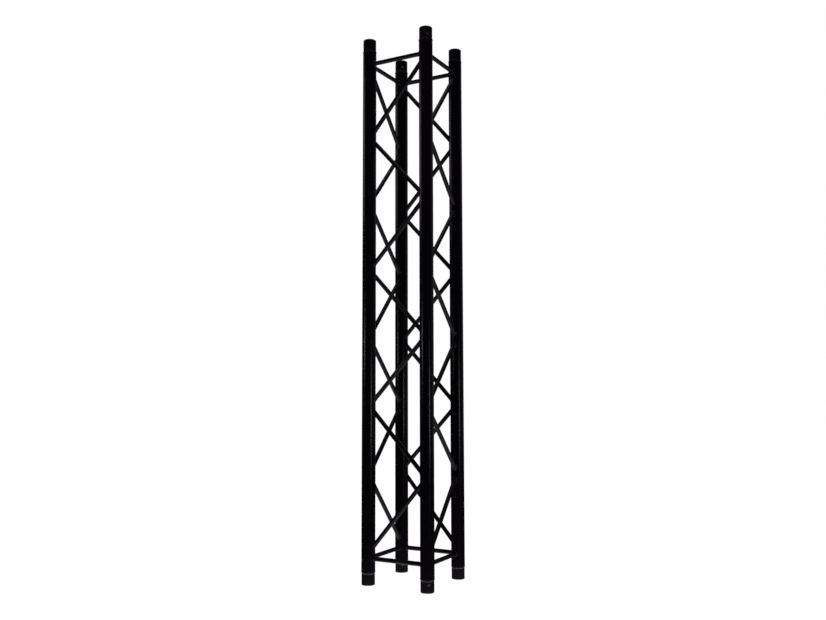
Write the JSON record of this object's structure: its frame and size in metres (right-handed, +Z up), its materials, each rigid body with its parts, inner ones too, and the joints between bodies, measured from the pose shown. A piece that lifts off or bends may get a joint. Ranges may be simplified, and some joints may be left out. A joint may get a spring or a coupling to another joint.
{
  "type": "lighting truss section",
  "caption": "Square box truss section with zigzag tube bracing and pinned coupler receivers in its ends, welded and black powder coated, standing on end.",
  "frame": {"origin": "centre of the square on the floor, at the level of the four lower receiver faces", "axes": "+Z up along the section's length; -Y out of the front side, +X to the right seen from the front"},
  "size_m": [0.2908, 0.2908, 2],
  "materials": {
    "tube_coating": "black powder coat, satin, fine texture",
    "brace_coating": "black powder coat, satin, fine texture",
    "receiver_coating": "black powder coat over turned metal, satin, worn at the rim",
    "weld_coating": "black powder coat over rippled weld beads"
  },
  "bodies": {
    "root": {"main_tube_front_right": "tube_coating", "main_tube_front_left": "tube_coating", "main_tube_back_left": "tube_coating", "main_tube_back_right": "tube_coating", "receiver_bottom_front_right": "receiver_coating", "receiver_bottom_front_left": "receiver_coating", "receiver_bottom_back_left": "receiver_coating", "receiver_bottom_back_right": "receiver_coating", "receiver_top_front_right": "receiver_coating", "receiver_top_front_left": "receiver_coating", "receiver_top_back_left": "receiver_coating", "receiver_top_back_right": "receiver_coating", "straight_brace_bottom_front": "brace_coating", "straight_brace_bottom_left": "brace_coating", "straight_brace_bottom_back": "brace_coating", "straight_brace_bottom_right": "brace_coating", "straight_brace_top_front": "brace_coating", "straight_brace_top_left": "brace_coating", "straight_brace_top_back": "brace_coating", "straight_brace_top_right": "brace_coating", "diagonal_brace_front_1": "brace_coating", "diagonal_brace_front_2": "brace_coating", "diagonal_brace_front_3": "brace_coating", "diagonal_brace_front_4": "brace_coating", "diagonal_brace_front_5": "brace_coating", "diagonal_brace_front_6": "brace_coating", "diagonal_brace_front_7": "brace_coating", "diagonal_brace_left_1": "brace_coating", "diagonal_brace_left_2": "brace_coating", "diagonal_brace_left_3": "brace_coating", "diagonal_brace_left_4": "brace_coating", "diagonal_brace_left_5": "brace_coating", "diagonal_brace_left_6": "brace_coating", "diagonal_brace_left_7": "brace_coating", "diagonal_brace_back_1": "brace_coating", "diagonal_brace_back_2": "brace_coating", "diagonal_brace_back_3": "brace_coating", "diagonal_brace_back_4": "brace_coating", "diagonal_brace_back_5": "brace_coating", "diagonal_brace_back_6": "brace_coating", "diagonal_brace_back_7": "brace_coating", "diagonal_brace_right_1": "brace_coating", "diagonal_brace_right_2": "brace_coating", "diagonal_brace_right_3": "brace_coating", "diagonal_brace_right_4": "brace_coating", "diagonal_brace_right_5": "brace_coating", "diagonal_brace_right_6": "brace_coating", "diagonal_brace_right_7": "brace_coating", "receiver_welds_bottom": "weld_coating", "receiver_welds_top": "weld_coating", "brace_welds_front_right": "weld_coating", "brace_welds_front_left": "weld_coating", "brace_welds_back_left": "weld_coating", "brace_welds_back_right": "weld_coating"}
  },
  "joints": []
}
